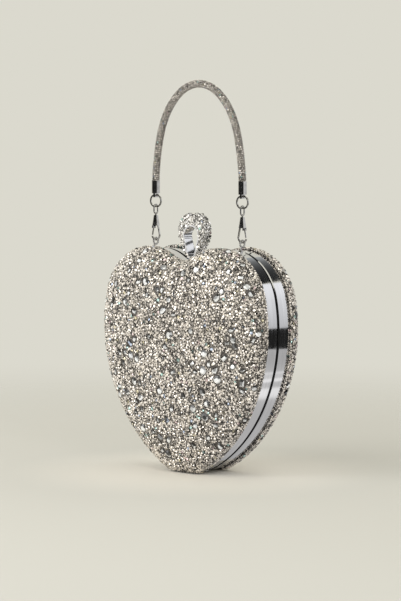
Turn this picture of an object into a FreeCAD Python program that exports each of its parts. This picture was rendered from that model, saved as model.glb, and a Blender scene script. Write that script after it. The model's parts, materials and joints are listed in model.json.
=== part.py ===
import FreeCAD, Part
import math
import os

# Heart shaped hard-case evening purse, in millimetres. +X is the viewer's right, +Y points to the back,
# +Z is up, and the origin lies on the ground under the middle of the case, in the parting plane.

# Heart outline at the frame
lobe_radius = 40.0
lobe_spread = 0.84
shoulder_turn = math.radians(11.5)
side_radius = 108.0
tip_radius = 11.0
base_half = 9.0
notch_radius = 25.0

# Layers of one half
frame_depth = 11.0
frame_wall = 1.6
flange_thickness = 1.5
flange_width = 4.0
parting_gap = 0.8
parting_chamfer = 0.8
tongue_reach = 3.0
tongue_root = 5.0
tongue_wall = 1.0
tongue_clearance = 0.35
cover_proud = 1.75
cover_rim = 1.85
dome_rise = 20.8
layer_gap = 0.1
shell_wall = 2.0
lining_wall = 0.8
dome_power = 2.45
dome_turns = (0.0, 5.0, 11.0, 18.0, 26.0, 35.0, 45.0, 56.0, 68.0, 80.0)
tip_fade_power = 2.1
notch_fade_power = 3.0
cut_margin = 1.0

# Hinge under the tip
hinge_length = 16.0
hinge_knuckle_radius = 1.5
hinge_pin_radius = 0.7
hinge_running_gap = 0.05
hinge_end_gap = 0.3
hinge_knuckle_room = 0.35
hinge_leaf_thickness = 1.0
hinge_leaf_end_gap = 1.0
hinge_rivet_radius = 0.9
hinge_rivet_head_radius = 1.6
hinge_rivet_head_height = 0.7
hinge_rivet_x = 5.5

# Ring clasp in the notch
ring_y = -4.0
ring_width = 8.0
ring_notch_gap = 2.19
ring_height = 32.0
ring_upper_radius = 12.2
ring_lower_radius = 6.0
bore_upper_radius = 6.7
bore_lower_radius = 3.4
ring_top_wall = 9.1
ring_bottom_wall = 1.6
ring_liner_wall = 1.0
clasp_pivot_drop = 6.71
clasp_hub_radius = 2.2
clasp_pin_radius = 1.0
clasp_running_gap = 0.05
stem_width = 5.0
stem_depth = 4.6
slot_room = 0.6
slot_swing_room = 2.6
arm_thickness = 2.0
arm_reach = 13.0
nose_length = 2.0
nose_drop = 2.6
tail_reach = 4.5
tail_thickness = 1.6
ear_gap = 0.5
ear_thickness = 1.5
ear_depth = 5.0
bracket_floor_thickness = 1.4
bracket_floor_gap = 0.5
spring_thickness = 0.4
spring_width = 3.0
spring_gap = 0.15
spring_foot_length = 2.0
keeper_bar_depth = 2.0
keeper_bar_height = 2.6
keeper_gap = 0.5
keeper_post = 1.5
keeper_side_gap = 2.0
keeper_room = 1.0

# Handle fittings, all on one vertical line at each side
handle_offset = 8.51
handle_y = -0.6
eye_mean_radius = 2.2
eye_wire_radius = 0.65
eye_rise = 5.57
eye_stem_radius = 0.9
eye_stem_y = -2.2
eye_foot_radius = 1.7
eye_foot_height = 1.0
eye_tail_length = 3.5
hook_wire_radius = 0.65
hook_bow_radius = 3.8
hook_play = 0.25
bell_low_radius = 2.7
bell_top_radius = 1.5
bell_stand = 9.95
bell_height = 7.4
bell_cavity_radius = 1.6
bell_roof = 3.9
hook_leg_x = 2.15
gate_wire_radius = 0.5
gate_hub_radius = 0.8
gate_hub_length = 1.6
gate_pin_radius = 0.35
gate_pin_gap = 0.06
gate_pivot_drop = 0.9
gate_tip_gap = 0.35
gate_ear_thickness = 0.45
gate_ear_gap = 0.15
nose_angle = 18.0
shank_radius = 0.6
shank_gap = 0.05
shank_head_radius = 1.2
shank_head_height = 1.0
shank_head_gap = 0.2
swivel_wire_radius = 0.55
swivel_mean_radius = 1.7
swivel_straight = 2.9
swivel_clear = 0.55
swivel_ball_radius = 0.85
ring_wire_radius = 0.65
ring_play = 0.2
ring_bend_radius = 4.0
ring_straight = 2.4
lug_thickness = 1.8
lug_half_width = 1.7
lug_hole_gap = 0.2
lug_wall = 0.75
cap_radius = 2.9
cap_gap = 0.55
cap_length = 8.9
cap_socket_depth = 3.5
cap_socket_gap = 0.08
strap_diameter = 5.4
# Right half of the strap's route, as (share of the handle's x, rise over the cap), from the cap to the apex
strap_points = ((1.0, 1.0), (0.984, 9.2), (0.932, 24.7), (0.834, 39.8), (0.636, 53.7), (0.346, 63.8),
                (0.0, 67.5))
strap_corner_share = 0.45

# Values that follow from the sizes above
frame_base_z = cover_proud
lobe_x = lobe_radius * lobe_spread
side_x = lobe_x - (side_radius - lobe_radius) * math.cos(shoulder_turn)
tip_x = base_half
tip_z = frame_base_z + tip_radius
side_z = tip_z + math.sqrt((side_radius - tip_radius) ** 2 - (tip_x - side_x) ** 2)
lobe_z = side_z + (side_radius - lobe_radius) * math.sin(shoulder_turn)
frame_top_z = lobe_z + lobe_radius
notch_low_z = lobe_z + math.sqrt((lobe_radius + notch_radius) ** 2 - lobe_x ** 2) - notch_radius
parting_half = parting_gap / 2
dome_start = frame_depth + cover_rim
hinge_z = frame_base_z
hinge_leaf_reach = frame_depth - flange_thickness - hinge_knuckle_radius - hinge_leaf_end_gap
clasp_pivot_z = notch_low_z - clasp_pivot_drop
ring_bottom_z = notch_low_z + ring_notch_gap
ring_top_z = ring_bottom_z + ring_height
bore_top_z = ring_top_z - ring_top_wall
bore_bottom_z = ring_bottom_z + ring_bottom_wall
handle_x = lobe_x + handle_offset
eye_foot_z = lobe_z + math.sqrt(lobe_radius ** 2 - handle_offset ** 2)
eye_centre_z = eye_foot_z + eye_rise
hook_z = eye_centre_z + eye_mean_radius - eye_wire_radius - hook_wire_radius - hook_play
bell_low_z = hook_z + bell_stand
bell_top_z = bell_low_z + bell_height
swivel_low_z = bell_top_z + swivel_clear + swivel_wire_radius + swivel_mean_radius
swivel_high_z = swivel_low_z + swivel_straight
ring_low_z = swivel_high_z + swivel_mean_radius - swivel_wire_radius - ring_wire_radius - ring_play
ring_high_z = ring_low_z + 2 * ring_bend_radius
cap_low_z = ring_high_z + ring_wire_radius + cap_gap
cap_top_z = cap_low_z + cap_length
strap_start_z = cap_top_z - cap_socket_depth
bracket_half = stem_width / 2 + ear_gap + ear_thickness


def vector(x, y, z):
    return FreeCAD.Vector(x, y, z)


def box(x_range, y_range, z_range):
    size = [high - low for low, high in (x_range, y_range, z_range)]
    return Part.makeBox(size[0], size[1], size[2], vector(x_range[0], y_range[0], z_range[0]))


def rod(radius, start, end):
    along = end - start
    return Part.makeCylinder(radius, along.Length, start, along)


def fuse(solids):
    joined = solids[0].fuse(solids[1:]) if len(solids) > 1 else solids[0]
    return joined.removeSplitter()


def mirrored(shape):
    return shape.mirror(vector(0, 0, 0), vector(1, 0, 0))


def turned_to_back(shape):
    return shape.mirror(vector(0, 0, 0), vector(0, 1, 0))


def wire_solid(edges, radius):
    """Round wire of one radius along a chain of edges."""
    path = Part.Wire(edges)
    first = path.OrderedEdges[0]
    start = first.valueAt(first.FirstParameter)
    along = first.tangentAt(first.FirstParameter)
    if (path.OrderedVertexes[0].Point - start).Length > 1e-6:
        start = first.valueAt(first.LastParameter)
        along = first.tangentAt(first.LastParameter) * -1
    section = Part.Wire([Part.Circle(start, along, radius).toShape()])
    return path.makePipeShell([section], True, True)


def bend(start, centre, axis, degrees, radius):
    """Round wire bent about an axis through a centre."""
    along = axis.cross(start - centre)
    section = Part.Face(Part.Wire([Part.Circle(start, along, radius).toShape()]))
    return section.revolve(centre, axis, degrees)


def link_loop(low, high, across, bend_radius, wire_radius):
    """Closed wire loop of two straight runs and two half circles between two bend centres."""
    axis = across.cross(high - low).normalize()
    side = across * bend_radius
    turns = [bend(high + side, high, axis, 180, wire_radius), bend(low - side, low, axis, 180, wire_radius)]
    runs = [rod(wire_radius, low + side, high + side), rod(wire_radius, low - side, high - side)]
    return fuse(turns + runs)


def polar(centre, radius, angle):
    return (centre[0] + radius * math.cos(angle), centre[1] + radius * math.sin(angle))


def direction(start, end):
    return math.atan2(end[1] - start[1], end[0] - start[0])


# Heart outline, offset outwards by a distance, drawn in towards its widest height, in a plane of one Y

def heart_wire(offset, y, scale=1.0):
    """Closed outline of ten edges: base line, then tip, lower side, upper side and lobe at each side, and the notch.
    A scale under one draws the part below the widest height in faster, so that a dome thins towards the tip."""
    low_scale = scale ** tip_fade_power
    soft_notch = notch_radius / scale ** notch_fade_power
    tip = (tip_x, tip_z)
    side = (side_x, side_z)
    lobe = (lobe_x, lobe_z)
    notch = (0.0, lobe_z + math.sqrt((lobe_radius + soft_notch) ** 2 - lobe_x ** 2))
    tip_turn = direction(side, tip)
    notch_turn = direction(lobe, notch)
    right_arcs = (
        (tip, tip_radius + offset, -math.pi / 2, tip_turn, low_scale),
        (side, side_radius + offset, tip_turn, 0.0, low_scale),
        (side, side_radius + offset, 0.0, shoulder_turn, scale),
        (lobe, lobe_radius + offset, shoulder_turn, notch_turn, scale),
    )

    def drawn_in(curve, height_scale):
        edge = curve.toShape()
        if scale == 1.0:
            return edge
        matrix = FreeCAD.Matrix()
        matrix.move(0, 0, -side_z)
        matrix.scale(scale, 1.0, height_scale)
        matrix.move(0, 0, side_z)
        return edge.transformGeometry(matrix).Edges[0]

    def arc(centre, radius, start, end, height_scale, flip=1.0):
        places = [polar(centre, radius, angle) for angle in (start, (start + end) / 2, end)]
        points = [vector(flip * x, y, z) for x, z in places]
        return drawn_in(Part.Arc(points[0], points[1], points[2]), height_scale)

    base_z = tip_z - tip_radius - offset
    edges = [drawn_in(Part.LineSegment(vector(-tip_x, y, base_z), vector(tip_x, y, base_z)), low_scale)]
    edges += [arc(*values) for values in right_arcs]
    edges.append(arc(notch, soft_notch - offset, notch_turn - math.pi, -notch_turn, scale))
    for centre, radius, start, end, height_scale in reversed(right_arcs):
        edges.append(arc(centre, radius, end, start, height_scale, -1.0))
    return Part.Wire(edges)


def heart_prism(offset, y_start, y_end):
    face = Part.Face(heart_wire(offset, y_start))
    return face.extrude(vector(0, y_end - y_start, 0))


def heart_ring(outer_offset, inner_offset, y_start, y_end):
    return heart_prism(outer_offset, y_start, y_end).cut(heart_prism(inner_offset, y_start, y_end))


def dome_section(offset, rise, turn):
    """Outline of a dome at one turn, in degrees, from its rim at none to its middle at 90."""
    scale = math.cos(math.radians(turn)) ** (2.0 / dome_power)
    level = math.sin(math.radians(turn)) ** (2.0 / dome_power)
    return heart_wire(offset, -dome_start - rise * level, scale)


def dome_solid(offset, rise, mouth=0.0):
    """Solid of one half's dome, straight at its rim, from the frame's edge forward to a flat crown."""
    rim = heart_prism(offset, -frame_depth + mouth, -dome_start)
    sections = [dome_section(offset, rise, turn) for turn in dome_turns]
    return rim.fuse(Part.makeLoft(sections, True, True))


def dome_layer(inset, wall):
    """Shell of one wall between two nested domes, open at the frame."""
    outer = dome_solid(cover_proud - inset, dome_rise - inset)
    inner = dome_solid(cover_proud - inset - wall, dome_rise - inset - wall, mouth=cut_margin)
    return outer.cut(inner)


# The three layers of the front dome

front_stone_cover = dome_layer(0.0, cover_proud)
shell_inset = cover_proud + layer_gap
front_shell = dome_layer(shell_inset, shell_wall)
lining_inset = shell_inset + shell_wall + layer_gap
front_lining = dome_layer(lining_inset, lining_wall)


# Frame bands

def frame_band():
    """Front band: wall with a chamfered parting edge and an inner flange behind the dome."""
    chamfer_start = -parting_half - parting_chamfer
    wall = heart_prism(0.0, -frame_depth, chamfer_start)
    edge = Part.makeLoft([heart_wire(0.0, chamfer_start), heart_wire(-parting_chamfer, -parting_half)], True, True)
    inside = heart_prism(-frame_wall, -frame_depth - cut_margin, cut_margin)
    flange = heart_ring(-frame_wall, -frame_wall - flange_width, -frame_depth, -frame_depth + flange_thickness)
    return fuse([wall.fuse(edge).cut(inside), flange])


def locating_tongue():
    """Inner lip of the front band that reaches inside the back band."""
    inner = -frame_wall - tongue_clearance - tongue_wall
    root = heart_ring(-frame_wall, inner, -parting_half - tongue_root, -parting_half)
    lip = heart_ring(-frame_wall - tongue_clearance, inner, -parting_half, tongue_reach)
    return root.fuse(lip)


hinge_half = hinge_length / 2
knuckle_room = rod(hinge_knuckle_radius + hinge_knuckle_room, vector(-hinge_half - hinge_end_gap, 0, hinge_z),
                   vector(hinge_half + hinge_end_gap, 0, hinge_z))
leaf_low_z = frame_base_z + frame_wall
leaf_top_z = leaf_low_z + hinge_leaf_thickness
hinge_opening = box((-hinge_half - hinge_end_gap, hinge_half + hinge_end_gap),
                    (-frame_depth + flange_thickness, frame_depth),
                    (leaf_low_z, leaf_low_z + tongue_clearance + 2 * tongue_wall))
keeper_half = stem_width / 2 + keeper_side_gap + keeper_post
clasp_opening = box((-keeper_half - keeper_room, keeper_half + keeper_room),
                    (-frame_depth + flange_thickness, frame_depth), (clasp_pivot_z, frame_top_z))

tongue = locating_tongue().cut(hinge_opening).cut(clasp_opening)
plain_band = frame_band()
stem_half = stem_width / 2
stem_front_y = ring_y - stem_depth / 2
stem_back_y = ring_y + stem_depth / 2
stem_slot = box((-stem_half - slot_room, stem_half + slot_room), (stem_front_y - slot_swing_room,
                stem_back_y + slot_room), (clasp_pivot_z, ring_bottom_z + slot_room))
rivet_y = hinge_knuckle_radius + hinge_leaf_reach / 2
rivet_places = [(x, rivet_y) for x in (-hinge_rivet_x, hinge_rivet_x)]


def rivet_stem(x, y):
    return rod(hinge_rivet_radius, vector(x, y, frame_base_z), vector(x, y, leaf_top_z))


def rivets(side):
    """Two rivets with heads on the leaf; side is -1 for the front and 1 for the back."""
    solids = []
    for x, y in rivet_places:
        head = rod(hinge_rivet_head_radius, vector(x, side * y, leaf_top_z),
                   vector(x, side * y, leaf_top_z + hinge_rivet_head_height))
        solids.append(fuse([rivet_stem(x, side * y), head]))
    return Part.makeCompound(solids)


def drilled(shape, side):
    for x, y in rivet_places:
        shape = shape.cut(rivet_stem(x, side * y))
    return shape


# Eye studs for the handle, with the stem through the front band

def eye_stud(x):
    centre = vector(x, handle_y, eye_centre_z)
    eye = Part.makeTorus(eye_mean_radius, eye_wire_radius, centre, vector(1, 0, 0))
    stem_top = eye_centre_z - eye_mean_radius
    stem = rod(eye_stem_radius, vector(x, eye_stem_y, eye_foot_z - eye_tail_length), vector(x, eye_stem_y, stem_top))
    hole_half = vector(eye_stem_radius + cut_margin, 0, 0)
    hole = rod(eye_mean_radius - eye_wire_radius, centre - hole_half, centre + hole_half)
    foot = rod(eye_foot_radius, vector(x, eye_stem_y, eye_foot_z - frame_wall),
               vector(x, eye_stem_y, eye_foot_z + eye_foot_height))
    foot = foot.cut(heart_prism(0.0, -frame_depth, frame_depth))
    return fuse([eye, stem.cut(hole), foot])


right_eyelet = eye_stud(handle_x)
left_eyelet = eye_stud(-handle_x)

front_frame = fuse([plain_band, tongue]).cut(knuckle_room).cut(stem_slot).cut(left_eyelet).cut(right_eyelet)
front_frame = drilled(front_frame, -1.0)
back_frame = drilled(turned_to_back(plain_band).cut(knuckle_room), 1.0)


# Hinge leaves and pin

def hinge_leaf(side, spans):
    """Leaf on the inside of a band, with knuckles over the given spans of X."""
    room_radius = hinge_knuckle_radius + hinge_knuckle_room
    web_reach = math.sqrt(room_radius ** 2 - frame_wall ** 2) - hinge_running_gap
    leaf_end = hinge_knuckle_radius + hinge_leaf_reach

    def along_y(start, end):
        return tuple(sorted((side * start, side * end)))

    solids = [box((-hinge_half, hinge_half), along_y(room_radius, leaf_end), (leaf_low_z, leaf_top_z))]
    for low, high in spans:
        solids.append(rod(hinge_knuckle_radius, vector(low, 0, hinge_z), vector(high, 0, hinge_z)))
        solids.append(box((low, high), along_y(0.0, web_reach), (hinge_z, leaf_top_z)))
        solids.append(box((low, high), along_y(0.0, room_radius), (leaf_low_z, leaf_top_z)))
    leaf = fuse(solids)
    bore = rod(hinge_pin_radius + hinge_running_gap, vector(-hinge_half, 0, hinge_z), vector(hinge_half, 0, hinge_z))
    return drilled(leaf.cut(bore), side)


third = hinge_length / 3
outer_spans = [(-hinge_half, -third / 2 - hinge_end_gap / 2), (third / 2 + hinge_end_gap / 2, hinge_half)]
inner_spans = [(-third / 2 + hinge_end_gap / 2, third / 2 - hinge_end_gap / 2)]
front_hinge_leaf = hinge_leaf(-1.0, outer_spans)
back_hinge_leaf = hinge_leaf(1.0, inner_spans)
hinge_pin = rod(hinge_pin_radius, vector(-hinge_half, 0, hinge_z), vector(hinge_half, 0, hinge_z))
front_hinge_rivets = rivets(-1.0)
back_hinge_rivets = rivets(1.0)


# Ring clasp: pear shaped ring, wide at its top, on a lever that tilts about a pin along X

def pear_prism(upper_radius, top_z, lower_radius, bottom_z, y_start, y_end):
    """Prism along Y of two circles and the lines that touch both."""
    upper_z = top_z - upper_radius
    lower_z = bottom_z + lower_radius
    lean = math.asin((upper_radius - lower_radius) / (upper_z - lower_z))
    upper = (0.0, upper_z)
    lower = (0.0, lower_z)

    def at(centre, radius, angle):
        x, z = polar(centre, radius, angle)
        return vector(x, y_start, z)

    right_upper = at(upper, upper_radius, -lean)
    left_upper = at(upper, upper_radius, math.pi + lean)
    right_lower = at(lower, lower_radius, -lean)
    left_lower = at(lower, lower_radius, math.pi + lean)
    edges = [
        Part.Arc(right_upper, at(upper, upper_radius, math.pi / 2), left_upper).toShape(),
        Part.LineSegment(left_upper, left_lower).toShape(),
        Part.Arc(left_lower, at(lower, lower_radius, -math.pi / 2), right_lower).toShape(),
        Part.LineSegment(right_lower, right_upper).toShape(),
    ]
    return Part.Face(Part.Wire(edges)).extrude(vector(0, y_end - y_start, 0))


ring_front_y = ring_y - ring_width / 2
ring_back_y = ring_y + ring_width / 2
ring_outside = pear_prism(ring_upper_radius, ring_top_z, ring_lower_radius, ring_bottom_z, ring_front_y, ring_back_y)
ring_bore = pear_prism(bore_upper_radius, bore_top_z, bore_lower_radius, bore_bottom_z, ring_front_y, ring_back_y)
liner_outside = pear_prism(bore_upper_radius + ring_liner_wall, bore_top_z + ring_liner_wall,
                           bore_lower_radius + ring_liner_wall, bore_bottom_z - ring_liner_wall,
                           ring_front_y, ring_back_y)
ring_liner = liner_outside.cut(ring_bore)

pivot_start = vector(-stem_half, ring_y, clasp_pivot_z)
pivot_end = vector(stem_half, ring_y, clasp_pivot_z)
stem = box((-stem_half, stem_half), (stem_front_y, stem_back_y), (clasp_pivot_z, bore_bottom_z - ring_liner_wall / 2))
hub = rod(clasp_hub_radius, pivot_start, pivot_end)
arm_top_z = clasp_pivot_z + arm_thickness
arm_end_y = ring_y + arm_reach
arm = box((-stem_half, stem_half), (ring_y, arm_end_y), (clasp_pivot_z, arm_top_z))
nose = box((-stem_half, stem_half), (arm_end_y - nose_length, arm_end_y), (clasp_pivot_z - nose_drop, arm_top_z))
tail = box((-stem_half, stem_half), (ring_y - tail_reach, ring_y),
           (clasp_pivot_z - tail_thickness / 2, clasp_pivot_z + tail_thickness / 2))
pin_room = rod(clasp_pin_radius + clasp_running_gap, pivot_start, pivot_end)
clasp_lever = fuse([ring_liner, stem, hub, arm, nose, tail]).cut(pin_room)
clasp_ring_cover = ring_outside.cut(liner_outside).cut(stem)

pin_half = bracket_half
clasp_pin = rod(clasp_pin_radius, vector(-pin_half, ring_y, clasp_pivot_z), vector(pin_half, ring_y, clasp_pivot_z))

# Bracket that hangs from the front band, with a shelf for the leaf spring under the lever's tail
floor_top_z = clasp_pivot_z - clasp_hub_radius - bracket_floor_gap
floor_low_z = floor_top_z - bracket_floor_thickness
ear_inner = stem_half + ear_gap
ear_y = (ring_y - ear_depth / 2, ring_y + ear_depth / 2)
right_ear = box((ear_inner, bracket_half), ear_y, (floor_low_z, frame_top_z))
bracket_floor = box((-bracket_half, bracket_half), (-frame_depth, ear_y[1]), (floor_low_z, floor_top_z))
band_inside = heart_prism(-frame_wall, -frame_depth, frame_depth)
clasp_bracket = fuse([right_ear, mirrored(right_ear), bracket_floor]).common(band_inside).cut(clasp_pin)

# Leaf spring: a foot on the shelf and a raised blade under the tail
spring_half = spring_width / 2
blade_top_z = clasp_pivot_z - tail_thickness / 2 - spring_gap
spring_x = (-spring_half, spring_half)
riser_back_y = -frame_depth + spring_foot_length
riser_front_y = riser_back_y - spring_thickness
blade_back_y = ring_y - clasp_hub_radius - ear_gap
spring_foot = box(spring_x, (-frame_depth, riser_back_y), (floor_top_z, floor_top_z + spring_thickness))
spring_riser = box(spring_x, (riser_front_y, riser_back_y), (floor_top_z, blade_top_z))
spring_blade = box(spring_x, (riser_front_y, blade_back_y), (blade_top_z - spring_thickness, blade_top_z))
clasp_spring = fuse([spring_foot, spring_riser, spring_blade])

# Keeper: a loop under the back band whose bar the lever's nose holds
bar_back_y = arm_end_y - nose_length - keeper_gap
bar_y = (bar_back_y - keeper_bar_depth, bar_back_y)
bar_top_z = clasp_pivot_z - keeper_gap
keeper_bar = box((-keeper_half, keeper_half), bar_y, (bar_top_z - keeper_bar_height, bar_top_z))
right_post = box((keeper_half - keeper_post, keeper_half), bar_y, (bar_top_z - keeper_bar_height, frame_top_z))
clasp_keeper = fuse([keeper_bar, right_post, mirrored(right_post)]).common(band_inside)


# Handle fittings at the right side; the left ones are mirrored

def in_strap_plane(point):
    return vector(point[0], handle_y, point[1])


bow = (handle_x, hook_z + hook_bow_radius)
gate_pivot = (handle_x + hook_leg_x, bell_low_z - gate_pivot_drop)


def snap_hook():
    """Bell head with the inner leg and the bow, and two small ears with a pin for the gate."""
    bottom = vector(handle_x, handle_y, bell_low_z)
    bell = Part.makeCone(bell_low_radius, bell_top_radius, bell_height, bottom)
    cavity = Part.makeCylinder(bell_cavity_radius, bell_height - bell_roof, bottom)
    hole = Part.makeCylinder(shank_radius + shank_gap, bell_height, bottom)
    leg_top = (handle_x - hook_leg_x, bell_low_z + hook_wire_radius)
    leg_foot = polar(bow, hook_bow_radius, math.pi)
    foot = in_strap_plane(leg_foot)
    leg = rod(hook_wire_radius, in_strap_plane(leg_top), foot)
    curve = bend(foot, in_strap_plane(bow), vector(0, -1, 0), 180 - nose_angle, hook_wire_radius)
    knee = Part.makeSphere(hook_wire_radius, foot)
    ear_start = gate_hub_length / 2 + gate_ear_gap
    ear_end = ear_start + gate_ear_thickness
    ears = []
    for low, high in ((ear_start, ear_end), (-ear_end, -ear_start)):
        ears.append(box((gate_pivot[0] - gate_hub_radius, gate_pivot[0] + gate_pin_radius),
                        (handle_y + low, handle_y + high), (gate_pivot[1] - gate_hub_radius, bell_low_z)))
    pin = rod(gate_pin_radius, vector(gate_pivot[0], handle_y - ear_end, gate_pivot[1]),
              vector(gate_pivot[0], handle_y + ear_end, gate_pivot[1]))
    body = bell.cut(cavity).cut(hole)
    return fuse([body, leg.cut(cavity), knee, curve, pin] + ears)


def hook_gate():
    """Wire gate from its hub down to just above the end of the bow."""
    half = gate_hub_length / 2
    hub_start = vector(gate_pivot[0], handle_y - half, gate_pivot[1])
    hub_end = vector(gate_pivot[0], handle_y + half, gate_pivot[1])
    bow_end = polar(bow, hook_bow_radius, math.radians(-nose_angle))
    lift = gate_tip_gap + gate_wire_radius
    turn = direction(bow_end, gate_pivot)
    tip = (bow_end[0] + lift * math.cos(turn), bow_end[1] + lift * math.sin(turn))
    bar = rod(gate_wire_radius, in_strap_plane(tip), in_strap_plane(gate_pivot))
    room = rod(gate_pin_radius + gate_pin_gap, hub_start, hub_end)
    return fuse([rod(gate_hub_radius, hub_start, hub_end), bar]).cut(room)


def swivel_eye():
    """Upright wire eye with a shank that turns in the bell."""
    def at(y, z):
        return vector(handle_x, handle_y + y, z)

    eye = link_loop(at(0, swivel_low_z), at(0, swivel_high_z), vector(0, 1, 0), swivel_mean_radius,
                    swivel_wire_radius)
    head_top_z = bell_top_z - bell_roof - shank_head_gap
    head_low_z = head_top_z - shank_head_height
    ball_z = swivel_low_z - swivel_mean_radius
    ball = Part.makeSphere(swivel_ball_radius, at(0, ball_z))
    shank = rod(shank_radius, at(0, head_low_z), at(0, ball_z))
    head = rod(shank_head_radius, at(0, head_low_z), at(0, head_top_z))
    return fuse([eye, ball, shank, head])


def wire_ring():
    """Flattened wire ring in the plane of the strap, with straight runs at its top and bottom."""
    middle_z = (ring_low_z + ring_high_z) / 2
    half = ring_straight / 2
    return link_loop(vector(handle_x - half, handle_y, middle_z), vector(handle_x + half, handle_y, middle_z),
                     vector(0, 0, 1), ring_bend_radius, ring_wire_radius)


def end_cap():
    """Turned cap with a socket for the rope and a drilled lug for the wire ring."""
    body = rod(cap_radius, vector(handle_x, handle_y, cap_low_z), vector(handle_x, handle_y, cap_top_z))
    socket = rod(strap_diameter / 2 + cap_socket_gap, vector(handle_x, handle_y, strap_start_z),
                 vector(handle_x, handle_y, cap_top_z))
    hole_radius = ring_wire_radius + lug_hole_gap
    lug_low_z = ring_high_z - hole_radius - lug_wall
    half = lug_thickness / 2
    lug = box((handle_x - half, handle_x + half), (handle_y - lug_half_width, handle_y + lug_half_width),
              (lug_low_z, cap_low_z))
    hole = rod(hole_radius, vector(handle_x - half, handle_y, ring_high_z),
               vector(handle_x + half, handle_y, ring_high_z))
    return fuse([body.cut(socket), lug.cut(hole)])


# Strap: a round rope along straight runs joined by tangent arcs

def strap_route():
    right = [(handle_x, strap_start_z)]
    right += [(handle_x * share, cap_top_z + rise) for share, rise in strap_points]
    left = [(-x, z) for x, z in reversed(right[:-1])]
    return [vector(x, handle_y, z) for x, z in right + left]


def rope(points, diameter):
    """Tube through rounded corners, with its least radius and length."""
    edges = []
    radii = []
    here = points[0]
    for before, corner, after in zip(points, points[1:], points[2:]):
        back = (before - corner).normalize()
        onward = (after - corner).normalize()
        turn = math.pi - back.getAngle(onward)
        cut = strap_corner_share * min((before - corner).Length, (after - corner).Length)
        radius = cut / math.tan(turn / 2)
        radii.append(radius)
        arc_start = corner + back * cut
        arc_end = corner + onward * cut
        inward = (back + onward).normalize()
        arc_middle = corner + inward * (radius / math.cos(turn / 2) - radius)
        edges.append(Part.LineSegment(here, arc_start).toShape())
        edges.append(Part.Arc(arc_start, arc_middle, arc_end).toShape())
        here = arc_end
    edges.append(Part.LineSegment(here, points[-1]).toShape())
    length = sum(edge.Length for edge in edges)
    return wire_solid(edges, diameter / 2), radii, length


strap, strap_radii, strap_length = rope(strap_route(), strap_diameter)
print("strap radii", [round(radius, 1) for radius in strap_radii])
print("strap length", round(strap_length, 2), "volume", round(strap.Volume, 2), "section times length",
      round(math.pi * strap_diameter ** 2 / 4 * strap_length, 2))

right_hook = snap_hook()
right_gate = hook_gate()
right_swivel_eye = swivel_eye()
right_ring = wire_ring()
right_cap = end_cap()

nodes = {
    "front_stone_cover": front_stone_cover,
    "front_shell": front_shell,
    "front_lining": front_lining,
    "front_frame": front_frame,
    "front_hinge_leaf": front_hinge_leaf,
    "front_hinge_rivets": front_hinge_rivets,
    "left_eyelet": left_eyelet,
    "right_eyelet": right_eyelet,
    "clasp_bracket": clasp_bracket,
    "clasp_pin": clasp_pin,
    "clasp_spring": clasp_spring,
    "clasp_lever": clasp_lever,
    "clasp_ring_cover": clasp_ring_cover,
    "back_stone_cover": turned_to_back(front_stone_cover),
    "back_shell": turned_to_back(front_shell),
    "back_lining": turned_to_back(front_lining),
    "back_frame": back_frame,
    "back_hinge_leaf": back_hinge_leaf,
    "back_hinge_rivets": back_hinge_rivets,
    "hinge_pin": hinge_pin,
    "clasp_keeper": clasp_keeper,
    "strap": strap,
}
fittings = {
    "hook": right_hook,
    "gate": right_gate,
    "swivel_eye": right_swivel_eye,
    "ring": right_ring,
    "cap": right_cap,
}
for name, shape in fittings.items():
    nodes["right_" + name] = shape
    nodes["left_" + name] = mirrored(shape)

os.makedirs("parts", exist_ok=True)
for name, shape in nodes.items():
    print(name, "solids", len(shape.Solids), "volume", round(shape.Volume, 2), "valid", shape.isValid())
    shape.exportStep("parts/" + name + ".step")
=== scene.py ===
import bpy
import json
import math
import numpy as np
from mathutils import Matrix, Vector
from mathutils.kdtree import KDTree


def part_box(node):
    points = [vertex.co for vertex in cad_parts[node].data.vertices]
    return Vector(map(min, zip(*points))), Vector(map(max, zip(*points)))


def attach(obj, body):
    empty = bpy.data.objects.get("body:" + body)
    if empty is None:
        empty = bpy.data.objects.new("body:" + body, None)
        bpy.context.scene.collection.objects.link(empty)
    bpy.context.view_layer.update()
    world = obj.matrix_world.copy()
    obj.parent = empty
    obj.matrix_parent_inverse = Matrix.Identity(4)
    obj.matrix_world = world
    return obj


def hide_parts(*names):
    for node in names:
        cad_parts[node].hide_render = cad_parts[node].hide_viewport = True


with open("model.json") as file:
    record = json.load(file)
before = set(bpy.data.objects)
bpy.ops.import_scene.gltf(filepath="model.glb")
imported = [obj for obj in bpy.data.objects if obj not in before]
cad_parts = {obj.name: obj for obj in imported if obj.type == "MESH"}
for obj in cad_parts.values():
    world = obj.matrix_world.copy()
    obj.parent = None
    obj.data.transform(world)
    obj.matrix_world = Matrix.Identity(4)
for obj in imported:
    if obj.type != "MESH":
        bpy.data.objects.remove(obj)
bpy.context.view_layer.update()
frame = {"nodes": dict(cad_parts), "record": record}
nodes = frame["nodes"]
scene = bpy.context.scene
scene.view_settings.view_transform = "Standard"

# Camera, in metres and degrees
camera_azimuth = 45.0
camera_elevation = 3.5
camera_distance = 1.6
camera_lens = 138.99
aim_height = 0.11814
aim_right = 0.00105

# Places on the case, in metres: the straight rim of each cover, measured from the parting plane, the widest
# height of the heart, the parting groove and the shoulder of the frame
rim_low = 0.011
rim_high = 0.01285
rim_margin = 0.0001
band_margin = 0.0016
dome_middle = 0.1002
dome_centre_y = 0.008
# Within groove_half of the parting plane the band is painted near black as the shade inside the groove
groove_half = 0.0012
# Within groove_dark of the parting plane the polished edge on the shoulders is painted black as shade
groove_dark = 0.00066
shoulder_x = 0.03
shoulder_z = 0.127
chamfer_slants = (0.5, 0.9)
upright_slant = 0.3
floor_clear = 0.0004
weld_distance = 0.000002
smooth_angle = math.radians(25.0)

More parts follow.
